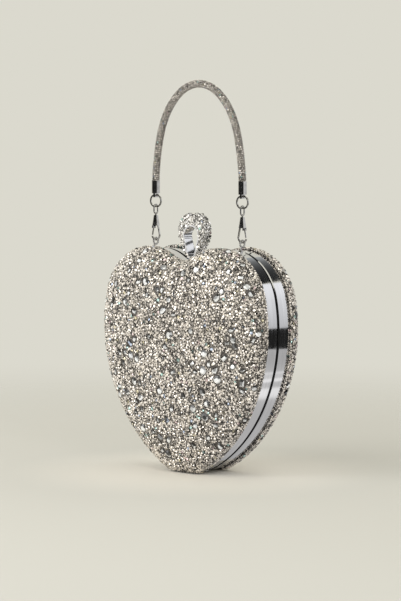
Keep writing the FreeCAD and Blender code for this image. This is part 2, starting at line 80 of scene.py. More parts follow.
# Sizes of the stones, in metres; a share says how much of a stone's size is kept clear of the others
stone_sink = 0.00025
stone_stand = 0.0003
base_inset = 0.0006
edge_stone = 0.0020
edge_pitch = 0.0019
step_stone = 0.0016
step_pitch = 0.0015
step_inset = 0.0009
fill_sizes = (0.0017, 0.0028)
fill_tries = 110000
chip_sizes = (0.0008, 0.0011)
chip_tries = 70000
feature_sizes = (0.0062, 0.0050, 0.0040)
feature_counts = (22, 36, 44)
feature_tries = 12
feature_rim_room = 0.4
ring_stone_sizes = (0.0020, 0.0026)
liner_stone_sizes = (0.0008, 0.0011)
ring_tries = 12000
rope_stone = 0.00135
rope_pitch = 0.00142
rope_around = 12
rope_core_radius = 0.00235
rope_radius = 0.0027
rope_tangent_step = 0.0005
fill_share = 0.73
edge_share = 0.86
feature_share = 1.0
stone_height_share = 0.3
stone_seeds = {"front": 11, "back": 23, "ring": 37, "rope": 41}

# Route of the strap's right half: share of the handle's half width, and rise above the cap in metres
strap_route = ((1.0, 0.001), (0.984, 0.0092), (0.932, 0.0247), (0.834, 0.0398), (0.636, 0.0537),
               (0.346, 0.0638), (0.0, 0.0675))
handle_x = (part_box("right_cap")[0][0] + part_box("right_cap")[1][0]) / 2

# Studio, in metres: where the floor's painted pool of light ends and where the floor fades out
painted_light_patch = (0.03, 0.14)
floor_fade = (0.2, 0.9)


def deselect():
    bpy.ops.object.select_all(action="DESELECT")


deselect()


# Camera

def place_camera():
    azimuth = math.radians(camera_azimuth)
    elevation = math.radians(camera_elevation)
    right = Vector((math.cos(azimuth), math.sin(azimuth), 0.0))
    aim = Vector((0.0, 0.0, aim_height)) + right * aim_right
    back = Vector((math.sin(azimuth) * math.cos(elevation), -math.cos(azimuth) * math.cos(elevation),
                   math.sin(elevation)))
    bpy.ops.object.camera_add(location=aim + back * camera_distance)
    camera = bpy.context.object
    camera.rotation_euler = back.to_track_quat("Z", "Y").to_euler()
    camera.data.lens = camera_lens
    camera.data.sensor_width = 36.0
    camera.data.clip_start = 0.05
    scene.camera = camera


place_camera()


# Materials

def new_material(name):
    material = bpy.data.materials.new(name)
    material.use_nodes = True
    return material, material.node_tree.nodes, material.node_tree.links


def surface_noise_group():
    """Noise over the object's own coordinates, spread over the full range from 0 to 1."""
    group = bpy.data.node_groups.new("surface_noise", "ShaderNodeTree")
    group.interface.new_socket("Scale", in_out="INPUT", socket_type="NodeSocketFloat")
    group.interface.new_socket("Stretch", in_out="INPUT", socket_type="NodeSocketVector")
    group.interface.new_socket("Value", in_out="OUTPUT", socket_type="NodeSocketFloat")
    inside = group.nodes
    entry = inside.new("NodeGroupInput")
    coordinates = inside.new("ShaderNodeTexCoord")
    stretched = inside.new("ShaderNodeVectorMath")
    stretched.operation = "MULTIPLY"
    noise = inside.new("ShaderNodeTexNoise")
    noise.inputs["Detail"].default_value = 3.0
    spread = inside.new("ShaderNodeMapRange")
    spread.inputs["From Min"].default_value = 0.32
    spread.inputs["From Max"].default_value = 0.68
    result = inside.new("NodeGroupOutput")
    group.links.new(coordinates.outputs["Object"], stretched.inputs[0])
    group.links.new(entry.outputs["Stretch"], stretched.inputs[1])
    group.links.new(stretched.outputs["Vector"], noise.inputs["Vector"])
    group.links.new(entry.outputs["Scale"], noise.inputs["Scale"])
    group.links.new(noise.outputs["Fac"], spread.inputs["Value"])
    group.links.new(spread.outputs["Result"], result.inputs["Value"])
    return group


surface_noise = surface_noise_group()


def place_noise(inside, scale, stretch=(1.0, 1.0, 1.0)):
    placed = inside.new("ShaderNodeGroup")
    placed.node_tree = surface_noise
    placed.inputs["Scale"].default_value = scale
    placed.inputs["Stretch"].default_value = stretch
    return placed.outputs["Value"]


def ramp_of(inside, links, value, colours):
    ramp = inside.new("ShaderNodeValToRGB")
    for element, colour in zip(ramp.color_ramp.elements, colours):
        element.color = (*colour, 1.0)
    links.new(value, ramp.inputs["Fac"])
    return ramp.outputs["Color"]


def range_of(inside, links, value, limits):
    mapped = inside.new("ShaderNodeMapRange")
    mapped.inputs["To Min"].default_value = limits[0]
    mapped.inputs["To Max"].default_value = limits[1]
    links.new(value, mapped.inputs["Value"])
    return mapped.outputs["Result"]


def metal_material(name, colours, roughness, scale, stretch, bump):
    """Metal with fine streaks in its colour, its roughness and its surface."""
    material, inside, links = new_material(name)
    shader = inside["Principled BSDF"]
    shader.inputs["Metallic"].default_value = 1.0
    streaks = place_noise(inside, scale, stretch)
    links.new(ramp_of(inside, links, streaks, colours), shader.inputs["Base Color"])
    links.new(range_of(inside, links, streaks, roughness), shader.inputs["Roughness"])
    relief = inside.new("ShaderNodeBump")
    relief.inputs["Strength"].default_value = bump
    relief.inputs["Distance"].default_value = 0.0001
    links.new(streaks, relief.inputs["Height"])
    links.new(relief.outputs["Normal"], shader.inputs["Normal"])
    return material


def groove_edge_material():
    """Polished edge beside the parting groove, with painted shade on its deeper half."""
    material, inside, links = new_material("groove_edge")
    shader = inside["Principled BSDF"]
    shader.inputs["Metallic"].default_value = 1.0
    coordinates = inside.new("ShaderNodeTexCoord")
    split = inside.new("ShaderNodeSeparateXYZ")
    depth = inside.new("ShaderNodeMath")
    depth.operation = "ABSOLUTE"
    outer = inside.new("ShaderNodeMath")
    outer.operation = "GREATER_THAN"
    outer.inputs[1].default_value = groove_dark
    links.new(coordinates.outputs["Object"], split.inputs["Vector"])
    links.new(split.outputs["Y"], depth.inputs[0])
    links.new(depth.outputs["Value"], outer.inputs[0])
    # Black on the deeper half is painted shade inside the groove; the outer half is bright polished metal
    colours = ((0.02, 0.02, 0.02), (0.93, 0.93, 0.93))
    links.new(ramp_of(inside, links, outer.outputs["Value"], colours), shader.inputs["Base Color"])
    links.new(range_of(inside, links, place_noise(inside, 160.0), (0.08, 0.16)), shader.inputs["Roughness"])
    return material


def stone_material():
    """Silver-backed cut stones; each facet has its own tone, and alpha says how like a mirror it is."""
    material, inside, links = new_material("cut_stones")
    shader = inside["Principled BSDF"]
    tone = inside.new("ShaderNodeAttribute")
    tone.attribute_name = "stone_tone"
    links.new(tone.outputs["Color"], shader.inputs["Base Color"])
    links.new(tone.outputs["Alpha"], shader.inputs["Metallic"])
    film = place_noise(inside, 900.0)
    links.new(range_of(inside, links, film, (0.08, 0.22)), shader.inputs["Roughness"])
    shader.inputs["Coat Weight"].default_value = 0.5
    shader.inputs["Coat Roughness"].default_value = 0.04
    return material


def plain_material(name, colours, roughness, scale, metallic=0.0):
    """Moulded or painted surface with a fine mottle."""
    material, inside, links = new_material(name)
    shader = inside["Principled BSDF"]
    shader.inputs["Metallic"].default_value = metallic
    mottle = place_noise(inside, scale)
    links.new(ramp_of(inside, links, mottle, colours), shader.inputs["Base Color"])
    links.new(range_of(inside, links, mottle, roughness), shader.inputs["Roughness"])
    return material


def weave_material(name, colours, pitch):
    """Satin weave of two crossing thread directions, with the given pitch of threads in metres."""
    bands_per_unit = 3.2
    material, inside, links = new_material(name)
    shader = inside["Principled BSDF"]
    coordinates = inside.new("ShaderNodeTexCoord")
    bands = []
    for direction in ("X", "Z"):
        wave = inside.new("ShaderNodeTexWave")
        wave.bands_direction = direction
        wave.inputs["Scale"].default_value = 1.0 / (bands_per_unit * pitch)
        wave.inputs["Distortion"].default_value = 0.6
        links.new(coordinates.outputs["Object"], wave.inputs["Vector"])
        bands.append(wave.outputs["Fac"])
    crossed = inside.new("ShaderNodeMath")
    crossed.operation = "MULTIPLY"
    links.new(bands[0], crossed.inputs[0])
    links.new(bands[1], crossed.inputs[1])
    links.new(ramp_of(inside, links, crossed.outputs["Value"], colours), shader.inputs["Base Color"])
    relief = inside.new("ShaderNodeBump")
    relief.inputs["Strength"].default_value = 0.4
    relief.inputs["Distance"].default_value = 0.0002
    links.new(crossed.outputs["Value"], relief.inputs["Height"])
    links.new(relief.outputs["Normal"], shader.inputs["Normal"])
    shader.inputs["Roughness"].default_value = 0.45
    shader.inputs["Sheen Weight"].default_value = 0.4
    return material


chrome = metal_material("chrome", ((0.70, 0.70, 0.71), (0.80, 0.80, 0.81)), (0.05, 0.11), 40.0,
                        (1.0, 14.0, 1.0), 0.03)
groove_edge = groove_edge_material()
fitting_chrome = metal_material("fitting_chrome", ((0.40, 0.39, 0.37), (0.58, 0.57, 0.55)), (0.03, 0.1),
                                300.0, (1.0, 1.0, 1.0), 0.05)
# Near-black steel painted into the parting groove as the shade that falls there
painted_groove_shade = metal_material("painted_groove_shade", ((0.012, 0.012, 0.012), (0.03, 0.03, 0.03)), (0.4, 0.55),
                              160.0, (1.0, 1.0, 1.0), 0.1)
inner_steel = metal_material("inner_steel", ((0.42, 0.42, 0.42), (0.58, 0.58, 0.58)), (0.25, 0.4), 120.0,
                             (12.0, 1.0, 1.0), 0.15)
cut_stones = stone_material()
stone_bed = plain_material("stone_bed", ((0.05, 0.043, 0.038), (0.14, 0.125, 0.11)), (0.3, 0.55), 500.0, 0.4)
shell_plastic = plain_material("shell_plastic", ((0.085, 0.085, 0.09), (0.11, 0.11, 0.115)), (0.4, 0.55),
                               250.0)
lining_cloth = weave_material("lining_cloth", ((0.16, 0.16, 0.165), (0.33, 0.33, 0.34)), 0.0006)

slot_materials = {
    "stones": stone_bed,
    "stone_rope": stone_bed,
    "shell": shell_plastic,
    "lining": lining_cloth,
    "chrome": chrome,
    "fitting_chrome": fitting_chrome,
    "inner_steel": inner_steel,
}


def dress(item, material):
    item.data.materials.clear()
    item.data.materials.append(material)


for piece in frame["record"]["subparts"]:
    dress(nodes[piece["node"]], slot_materials[piece["material_slot"]])
for side_name in ("left", "right"):
    dress(nodes[side_name + "_eyelet"], fitting_chrome)


# Frames and linings

def merged_copy(node_name, name):
    """Copy of a solid with its loose triangles joined, which takes that solid's place."""
    deselect()
    source = nodes[node_name]
    copy = source.copy()
    copy.data = source.data.copy()
    copy.name = name
    copy.parent = None
    for key in list(copy.keys()):
        del copy[key]
    scene.collection.objects.link(copy)
    copy.select_set(True)
    bpy.context.view_layer.objects.active = copy
    bpy.ops.object.mode_set(mode="EDIT")
    bpy.ops.mesh.select_all(action="SELECT")
    bpy.ops.mesh.remove_doubles(threshold=weld_distance)
    bpy.ops.object.mode_set(mode="OBJECT")
    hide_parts(node_name)
    return copy


def smooth_copy(node_name, body):
    """Copy of a solid whose gently turning faces are shaded as one surface."""
    copy = merged_copy(node_name, node_name + "_smooth")
    bpy.ops.mesh.customdata_custom_splitnormals_clear()
    bpy.ops.object.shade_smooth_by_angle(angle=smooth_angle)
    deselect()
    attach(copy, body)
    return copy


def frame_band(side_name):
    """Polished band, painted near black in the parting groove as the shade there, and of plain steel inside
    the case.
    """
    band = smooth_copy(side_name + "_frame", side_name + "_half")
    for material in (painted_groove_shade, groove_edge, inner_steel):
        band.data.materials.append(material)
    outer_face, painted_shade_face, chamfer_face, inner_face = range(4)
    for polygon in band.data.polygons:
        x, y, z = polygon.center
        slant = abs(polygon.normal.y)
        outside = Vector((x, 0.0, z - dome_middle)).dot(polygon.normal) > 0.0
        shoulder = abs(x) > shoulder_x and z > shoulder_z
        chamfer = chamfer_slants[0] < slant < chamfer_slants[1]
        # In the groove the band is painted near black as shade; only the outward chamfers on the upper
        # shoulders keep polished metal
        if abs(y) < groove_half:
            polygon.material_index = chamfer_face if outside and shoulder and chamfer else painted_shade_face
        elif outside and slant < upright_slant and abs(y) < rim_low - band_margin:
            polygon.material_index = outer_face
        else:
            polygon.material_index = inner_face


for side_name in ("front", "back"):
    frame_band(side_name)
    smooth_copy(side_name + "_lining", side_name + "_half")


# Cut stones: each kind is modelled once and then copied

def model_stone(name, sides, table, crown, squeeze=(1.0, 1.0), point=0.0):
    """Faceted stone about one unit wide: a crown of triangles from the girdle up to a turned table."""
    deselect()
    bpy.ops.mesh.primitive_cone_add(vertices=sides, radius1=0.5, radius2=0.5 * table, depth=crown,
                                    end_fill_type="NGON", location=(0.0, 0.0, crown / 2))
    stone = bpy.context.object
    stone.name = name
    bpy.ops.object.transform_apply(location=True, rotation=True, scale=True)
    for vertex in stone.data.vertices:
        vertex.select = vertex.co.z > crown / 2
    bpy.ops.object.mode_set(mode="EDIT")
    bpy.ops.mesh.select_mode(type="VERT")
    bpy.ops.transform.rotate(value=math.pi / sides, orient_axis="Z", center_override=(0.0, 0.0, 0.0))
    bpy.ops.mesh.select_all(action="SELECT")
    bpy.ops.transform.resize(value=(squeeze[0], squeeze[1], 1.0), center_override=(0.0, 0.0, 0.0))
    bpy.ops.mesh.quads_convert_to_tris(quad_method="SHORTEST_DIAGONAL")
    bpy.ops.object.mode_set(mode="OBJECT")
    points = np.array([vertex.co for vertex in stone.data.vertices])
    points[:, 1] *= 1.0 - point * (points[:, 0] / squeeze[0] + 0.5)
    triangles = np.array([polygon.vertices for polygon in stone.data.polygons])
    edges = points[triangles[:, 1:]] - points[triangles[:, :1]]
    normals = np.cross(edges[:, 0], edges[:, 1])
    normals /= np.linalg.norm(normals, axis=1)[:, None]
    upper = normals[:, 2] > 0.05
    directions, facets = np.unique(normals[upper].round(2), axis=0, return_inverse=True)
    bpy.data.objects.remove(stone)
    return {"points": points, "triangles": triangles[upper], "facets": facets.ravel(),
            "directions": directions}


small_round = model_stone("small_round", 6, 0.55, 0.18)
large_round = model_stone("large_round", 8, 0.52, 0.14)
chip = model_stone("chip", 4, 0.55, 0.2)
oval = model_stone("oval", 8, 0.5, 0.14, (1.0, 0.76))
drop = model_stone("drop", 6, 0.5, 0.14, (1.0, 0.86), 0.6)
navette = model_stone("navette", 4, 0.5, 0.14, (1.15, 0.7))
feature_kinds = (large_round, large_round, oval, drop, navette, drop)

# Colours and tones of the stones; a tone is the level of one facet
stone_colour = (1.0, 0.925, 0.84)
feature_colour = (0.97, 0.985, 1.0)
ring_colour = (1.0, 0.975, 0.94)
level_floor = 0.01
level_limit = 0.95
# Tints painted into a small share of the stones as flashes of coloured light
painted_flash_tints = ((0.66, 0.95, 0.90), (1.0, 0.90, 0.62), (1.0, 0.80, 0.80), (0.70, 0.80, 1.0))
painted_flash_share = 0.035
stone_spread = 0.3
stone_mirror = 0.65
dark_stones = 0.12
dark_stone_level = 0.2
dark_facets = 0.2
dark_facet_level = 0.06

# Looks of each group of stones: usual tone, spread of tones between facets and tilt, and for some groups
# their own colour, likeness to a mirror, share of the usual number of dark ones, and depth: the strength of
# painted shade on facets that look up and painted highlight on those that look down
step_look = {"brightness": 0.75, "spread": 0.5, "tilt": 0.04}
edge_look = {"brightness": 0.9, "spread": 0.5, "tilt": 0.06}
fill_look = {"brightness": 0.87, "spread": 0.5, "tilt": 0.18}
bright_look = {"brightness": 0.9, "spread": 0.5, "tilt": 0.12, "colour": feature_colour, "mirror": 0.25,
               "dark": 0.9, "depth": 6.0}
deep_look = {"brightness": 0.55, "spread": 0.7, "tilt": 0.14, "colour": feature_colour, "mirror": 0.4,
             "dark": 0.9, "depth": 6.0}
ring_look = {"brightness": 1.0, "spread": 0.4, "tilt": 0.14, "colour": ring_colour, "mirror": 0.75,
             "dark": 0.6}
rope_look = {"brightness": 0.41, "spread": 0.32, "tilt": 0.06, "dark": 0.25}


class StoneField:
    """Stones that keep clear of each other, gathered into one mesh."""

    def __init__(self, seed):
        self.random = np.random.default_rng(seed)
        self.placed = []
        self.points = []
        self.triangles = []
        self.tones = []
        self.count = 0

    def settle(self, places, sizes, share, limit=None):
        """Rows of the places that take a stone, each kept clear of the others over a share of its size."""
        tree = KDTree(len(places))
        for row, place in enumerate(places):
            tree.insert(place, row)
        tree.balance()
        radii = (sizes * share / 2).tolist()
        largest = max(radii)
        free = [True] * len(places)
        for place, radius in self.placed:
            for found, row, gap in tree.find_range(place, radius + largest):
                if gap < radius + radii[row]:
                    free[row] = False
        taken = []
        for row, place in enumerate(places):
            if free[row]:
                taken.append(row)
                self.placed.append((place, radii[row]))
                for found, other, gap in tree.find_range(place, radii[row] + largest):
                    if gap < radii[row] + radii[other]:
                        free[other] = False
            if limit and len(taken) == limit:
                break
        return np.array(taken, dtype=int)

    def set_stones(self, kind, places, normals, sizes, brightness, spread, tilt, colour=stone_colour,
                   mirror=stone_mirror, dark=1.0, depth=0.0):
        """Copies of one kind of stone, each with its own size, spin, tilt and facet tones.

        With depth, facets that look up get painted shade and those that look down a painted highlight.
        """
        count = len(places)
        if not count:
            return
        random = self.random
        normals = normals + random.normal(0.0, tilt, (count, 3))
        normals /= np.linalg.norm(normals, axis=1)[:, None]
        helper = np.where(np.abs(normals[:, 2:]) < 0.8, (0.0, 0.0, 1.0), (1.0, 0.0, 0.0))
        across = np.cross(helper, normals)
        across /= np.linalg.norm(across, axis=1)[:, None]
        along = np.cross(normals, across)
        spin = random.uniform(0.0, 2 * math.pi, count)
        first = across * np.cos(spin)[:, None] + along * np.sin(spin)[:, None]
        second = np.cross(normals, first)
        shapes = kind["points"][None, :, :] * np.broadcast_to(sizes, count)[:, None, None]
        sinks = np.maximum(stone_sink, shapes[:, :, 2].max(axis=1) - stone_stand)
        corners = (places - normals * sinks[:, None])[:, None, :] + shapes[:, :, 0:1] * first[:, None, :]
        corners = corners + shapes[:, :, 1:2] * second[:, None, :] + shapes[:, :, 2:3] * normals[:, None, :]
        corner_count = shapes.shape[1]
        self.points.append(corners.reshape(-1, 3))
        starts = self.count + corner_count * np.arange(count)
        self.triangles.append((kind["triangles"][None, :, :] + starts[:, None, None]).reshape(-1, 3))
        self.count += corner_count * count
        facet_count = kind["facets"].max() + 1
        levels = brightness * np.exp(random.normal(0.0, spread, (count, facet_count)))
        levels *= np.exp(random.normal(0.0, stone_spread, (count, 1)))
        facing = np.stack((first, second, normals), axis=1)
        # Painted shade on facets that lean up and painted highlight on those that lean down
        lean = (kind["directions"] @ facing)[:, :, 2] - normals[:, 2:] * kind["directions"][:, 2]
        levels *= np.exp(-depth * lean)
        dark_facet = random.random((count, facet_count)) < dark_facets * dark
        levels = np.where(dark_facet, levels * dark_facet_level, levels)
        dark_stone = random.random((count, 1)) < dark_stones * dark
        levels = np.where(dark_stone, levels * dark_stone_level, levels)
        colours = np.tile(np.array(colour), (count, 1))
        # A few stones are painted in the tints as coloured flashes of light
        painted_flash = random.random(count) < painted_flash_share
        colours[painted_flash] = np.array(painted_flash_tints)[random.integers(0, len(painted_flash_tints), painted_flash.sum())]
        tones = np.clip(levels, level_floor, level_limit)[:, :, None] * colours[:, None, :]
        tones = np.concatenate((tones, np.full((count, facet_count, 1), mirror)), axis=2)
        self.tones.append(tones[:, kind["facets"], :].reshape(-1, 4))

    def make(self, name, body):
        """One piece of all the stones set so far."""
        points = np.concatenate(self.points)
        triangles = np.concatenate(self.triangles)
        tones = np.concatenate(self.tones)
        mesh = bpy.data.meshes.new(name)
        mesh.from_pydata(points, [], triangles)
        layer = mesh.attributes.new("stone_tone", "FLOAT_COLOR", "FACE")
        layer.data.foreach_set("color", tones.ravel())
        field = bpy.data.objects.new(name, mesh)
        scene.collection.objects.link(field)
        dress(field, cut_stones)
        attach(field, body)
        return field


def mesh_arrays(item):
    """Corners, normals and areas of an object's triangles."""
    mesh = item.data
    mesh.calc_loop_triangles()
    points = np.empty(len(mesh.vertices) * 3)
    mesh.vertices.foreach_get("co", points)
    triangles = np.empty(len(mesh.loop_triangles) * 3, dtype=int)
    mesh.loop_triangles.foreach_get("vertices", triangles)
    points = points.reshape(-1, 3)
    triangles = triangles.reshape(-1, 3)
    corners = points[triangles]
    normals = np.cross(corners[:, 1] - corners[:, 0], corners[:, 2] - corners[:, 0])
    areas = np.linalg.norm(normals, axis=1) / 2
    normals = normals / np.maximum(2 * areas, 1e-15)[:, None]
    return corners, normals, areas


def scatter(corners, normals, areas, count, random):
    """Random places over triangles, by area, with their normals."""
    rows = random.choice(len(areas), count, p=areas / areas.sum())
    first = random.random((count, 1))
    second = random.random((count, 1))
    over = first + second > 1.0
    first = np.where(over, 1.0 - first, first)
    second = np.where(over, 1.0 - second, second)
    base = corners[rows, 0]
    places = base + first * (corners[rows, 1] - base) + second * (corners[rows, 2] - base)
    return places, normals[rows]


def inset_bed(node_name, name, body):
    """Copy of a cover, drawn in under its stones."""
    bed = merged_copy(node_name, name)
    bpy.ops.object.mode_set(mode="EDIT")
    bpy.ops.mesh.select_all(action="SELECT")
    bpy.ops.transform.shrink_fatten(value=-base_inset)
    bpy.ops.object.mode_set(mode="OBJECT")
    deselect()
    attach(bed, body)


def distances_along(line):
    steps = np.linalg.norm(np.diff(line, axis=0), axis=1)
    return np.concatenate(((0.0,), np.cumsum(steps)))


def places_along(line, travelled, stations):
    return np.column_stack([np.interp(stations, travelled, line[:, axis]) for axis in range(3)])


def edge_line(corners, normals, side, pitch):
    """Closed line of places along the middle of a cover's straight rim, with outward normals."""
    middle_y = side * (rim_low + rim_high) / 2
    rim = (np.abs(normals[:, 1]) < 0.1) & (corners[:, :, 1] * side < rim_high + rim_margin).all(axis=1)
    points = corners[rim].reshape(-1, 3)
    directions = np.repeat(normals[rim], 3, axis=0)
    angles = np.arctan2(points[:, 2] - dome_middle, points[:, 0])
    order = np.argsort(angles)
    points = points[order]
    directions = directions[order]
    points[:, 1] = middle_y
    line = np.vstack((points, points[:1]))
    travelled = distances_along(line)
    count = int(travelled[-1] / pitch)
    stations = np.arange(count) * travelled[-1] / count
    places = places_along(line, travelled, stations)
    rows = np.clip(np.searchsorted(travelled, stations), 0, len(directions) - 1)
    return places, directions[rows]


def clear_of_floor(places, normals, sizes):
    """Whether stones of these sizes stay above the floor."""
    lean = np.sqrt(np.maximum(1.0 - normals[:, 2] ** 2, 0.0))
    lowest = places[:, 2] - lean * sizes / 2
    lowest = lowest - np.maximum(-normals[:, 2], 0.0) * sizes * stone_height_share
    return lowest > floor_clear


def cover_half(side_name, side):
    """Bed and stones of one half; side is -1 for the front and 1 for the back."""
    node_name = side_name + "_stone_cover"
    body = side_name + "_half"
    corners, normals, areas = mesh_arrays(nodes[node_name])
    middles = corners.mean(axis=1)
    away = middles - np.array((0.0, side * dome_centre_y, dome_middle))
    outer = ((normals * away).sum(axis=1) > 0.0) & (normals[:, 1] * side > -0.5)
    corners, normals, areas = corners[outer], normals[outer], areas[outer]
    field = StoneField(stone_seeds[side_name])
    places, directions = edge_line(corners, normals, side, step_pitch)
    places = places - directions * step_inset
    places[:, 1] = side * rim_low
    directions = np.tile((0.0, -side, 0.0), (len(places), 1))
    good = places[:, 2] > step_stone / 2 + floor_clear
    field.set_stones(small_round, places[good], directions[good], step_stone, **step_look)
    places, directions = edge_line(corners, normals, side, edge_pitch)
    sizes = np.full(len(places), edge_stone)
    good = clear_of_floor(places, directions, sizes)
    places, directions, sizes = places[good], directions[good], sizes[good]
    taken = field.settle(places, sizes, edge_share)
    field.set_stones(small_round, places[taken], directions[taken], edge_stone, **edge_look)
    for size, wanted in zip(feature_sizes, feature_counts):
        places, directions = scatter(corners, normals, areas, wanted * feature_tries, field.random)
        sizes = np.full(len(places), size)
        off_rim = places[:, 1] * side > rim_high + size * feature_rim_room
        good = clear_of_floor(places, directions, sizes) & off_rim
        places, directions, sizes = places[good], directions[good], sizes[good]
        taken = field.settle(places, sizes, feature_share, wanted)
        kinds = field.random.integers(0, len(feature_kinds), len(taken))
        for number, kind in enumerate(feature_kinds):
            chosen = taken[kinds == number]
            for rows, look in ((chosen[::2], bright_look), (chosen[1::2], deep_look)):
                field.set_stones(kind, places[rows], directions[rows], size, **look)
    for kind, limits, tries in ((small_round, fill_sizes, fill_tries), (chip, chip_sizes, chip_tries)):
        places, directions = scatter(corners, normals, areas, tries, field.random)
        sizes = field.random.uniform(limits[0], limits[1], tries)
        good = clear_of_floor(places, directions, sizes)
        places, directions, sizes = places[good], directions[good], sizes[good]
        taken = field.settle(places, sizes, fill_share)
        field.set_stones(kind, places[taken], directions[taken], sizes[taken], **fill_look)
    field.make(side_name + "_stones", body)
    inset_bed(node_name, side_name + "_stone_bed", body)


cover_half("front", -1.0)
cover_half("back", 1.0)


# Stones on the clasp ring

def ring_stones():
    """Bed and stones of the ring, with small stones on the edge of its chrome liner."""
    corners, normals, areas = mesh_arrays(nodes["clasp_ring_cover"])
    middles = corners.mean(axis=1)
    low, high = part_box("clasp_ring_cover")
    middle = np.array(((low[0] + high[0]) / 2, (low[1] + high[1]) / 2, high[2] - (high[0] - low[0]) / 2))
    away = middles - middle
    faces = np.abs(normals[:, 1]) > 0.9
    outer = faces | ((normals * away).sum(axis=1) > 0.0)
    lever_corners, lever_normals, lever_areas = mesh_arrays(nodes["clasp_lever"])
    on_faces = (np.abs(lever_normals[:, 1]) > 0.9) & (lever_corners[:, :, 2] > low[2]).all(axis=1)
    cover_area = (corners[outer], normals[outer], areas[outer])
    liner_area = (lever_corners[on_faces], lever_normals[on_faces], lever_areas[on_faces])
    field = StoneField(stone_seeds["ring"])
    passes = ((cover_area, ring_stone_sizes), (liner_area, liner_stone_sizes), (cover_area, chip_sizes))
    for area, limits in passes:
        places, directions = scatter(*area, ring_tries, field.random)
        sizes = field.random.uniform(limits[0], limits[1], ring_tries)
        taken = field.settle(places, sizes, fill_share)
        field.set_stones(small_round, places[taken], directions[taken], sizes[taken], **ring_look)
    field.make("clasp_ring_stones", "clasp")
    inset_bed("clasp_ring_cover", "clasp_ring_bed", "clasp")


ring_stones()


# Strap: a stiff round rope with rows of small stones

def strap_cord():
    """Core of the rope, and the line along its middle."""
    handle_y = (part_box("strap")[0][1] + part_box("strap")[1][1]) / 2
    cap_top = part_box("right_cap")[1][2]
    start_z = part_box("strap")[0][2]
    right = [(handle_x, start_z)] + [(handle_x * share, cap_top + rise) for share, rise in strap_route]
    route = right + [(-x, z) for x, z in reversed(right[:-1])]
    curve = bpy.data.curves.new("strap_core", "CURVE")
    curve.dimensions = "3D"
    curve.resolution_u = 24
    curve.use_fill_caps = True
    spline = curve.splines.new("NURBS")
    spline.points.add(len(route) - 1)
    for point, (x, z) in zip(spline.points, route):
        point.co = (x, handle_y, z, 1.0)
    spline.order_u = 3
    spline.use_endpoint_u = True
    core = bpy.data.objects.new("strap_core", curve)
    scene.collection.objects.link(core)
    bpy.context.view_layer.update()
    traced = bpy.data.meshes.new_from_object(core)
    line = np.array([vertex.co for vertex in traced.vertices])
    bpy.data.meshes.remove(traced)
    curve.bevel_depth = rope_core_radius
    curve.bevel_resolution = 6
    dress(core, stone_bed)
    return core, line


def rope_stones(line):
    """Rows of stones around the rope, each row turned by half a step, and the rope's length."""
    travelled = distances_along(line)
    count = int(travelled[-1] / rope_pitch)
    stations = (np.arange(count) + 0.5) * travelled[-1] / count
    middles = places_along(line, travelled, stations)
    ahead = places_along(line, travelled, stations + rope_tangent_step)
    behind = places_along(line, travelled, stations - rope_tangent_step)
    tangents = ahead - behind
    tangents /= np.linalg.norm(tangents, axis=1)[:, None]
    side = np.array((0.0, 1.0, 0.0))
    outward = np.cross(tangents, side)
    places = []
    normals = []
    for row in range(count):
        for step in range(rope_around):
            angle = 2 * math.pi * (step + 0.5 * (row % 2)) / rope_around
            normal = side * math.cos(angle) + outward[row] * math.sin(angle)
            places.append(middles[row] + normal * rope_radius)
            normals.append(normal)
    field = StoneField(stone_seeds["rope"])
    field.set_stones(small_round, np.array(places), np.array(normals), rope_stone, **rope_look)
    return field.make("strap_stones", "strap"), travelled[-1]


strap_core, strap_line = strap_cord()
strap_stones, strap_length = rope_stones(strap_line)
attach(strap_core, "strap")
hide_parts("strap")


# Studio: floor, light and cards that only reflections see

def studio_plane(name, size, location, rotation, material):
    """Flat piece of the studio, which is no part of the object."""
    bpy.ops.mesh.primitive_plane_add(size=1.0, location=location, rotation=rotation)
    plane = bpy.context.object
    plane.name = name
    plane.scale = (size[0], size[1], 1.0)
    bpy.ops.object.transform_apply(location=False, rotation=False, scale=True)
    dress(plane, material)
    return plane


def glow_material(name, colour, levels):
    """Glow of one colour; levels are (share across the card, strength) along the card's axis."""
    material, inside, links = new_material(name)
    inside.remove(inside["Principled BSDF"])
    glow = inside.new("ShaderNodeEmission")
    glow.inputs["Color"].default_value = (*colour, 1.0)
    uv = inside.new("ShaderNodeTexCoord")
    split = inside.new("ShaderNodeSeparateXYZ")
    curve = inside.new("ShaderNodeFloatCurve")
    points = curve.mapping.curves[0].points
    points[0].location = (0.0, levels[0][1])
    points[1].location = (1.0, levels[-1][1])
    for share, strength in levels[1:-1]:
        points.new(share, strength)
    curve.mapping.clip_max_y = 4.0
    curve.mapping.update()
    links.new(uv.outputs["UV"], split.inputs["Vector"])
    links.new(split.outputs["Y"], curve.inputs["Value"])
    links.new(curve.outputs["Value"], glow.inputs["Strength"])
    links.new(glow.outputs["Emission"], inside["Material Output"].inputs["Surface"])
    return material


def reflection_card(name, size, location, rotation, colour, levels):
    """Glowing card that only mirrors see."""
    card = studio_plane(name, size, location, rotation, glow_material(name, colour, levels))
    card.visible_camera = False
    card.visible_diffuse = False
    card.visible_shadow = False


def soft_light(name, energy, size, location, aim):
    bpy.ops.object.light_add(type="AREA", location=location)
    light = bpy.context.object
    light.name = name
    light.data.energy = energy
    light.data.size = size
    light.rotation_euler = (Vector(location) - Vector(aim)).to_track_quat("Z", "Y").to_euler()


